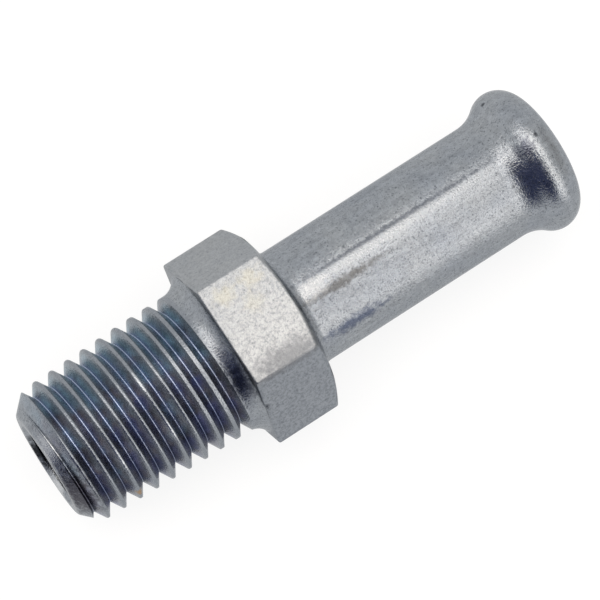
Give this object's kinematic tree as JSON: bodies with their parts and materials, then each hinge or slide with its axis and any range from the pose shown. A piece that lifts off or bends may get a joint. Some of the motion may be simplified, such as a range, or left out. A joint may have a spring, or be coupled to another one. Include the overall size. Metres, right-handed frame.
{
  "type": "hose fitting",
  "caption": "Straight male hose fitting: tapered pipe thread, hexagon and smooth hose spigot with a rounded bead at its end, bored through.",
  "frame": {"origin": "on the axis, in the plane of the hexagon's face on the thread side", "axes": "+X along the axis from the thread to the bead, +Z out of the upper hexagon flat"},
  "size_m": [0.0299, 0.0106, 0.0092],
  "materials": {
    "plated_steel": "bright zinc plate over turned steel, lightly tumbled"
  },
  "bodies": {
    "root": {"hose_fitting": "plated_steel"}
  },
  "joints": []
}
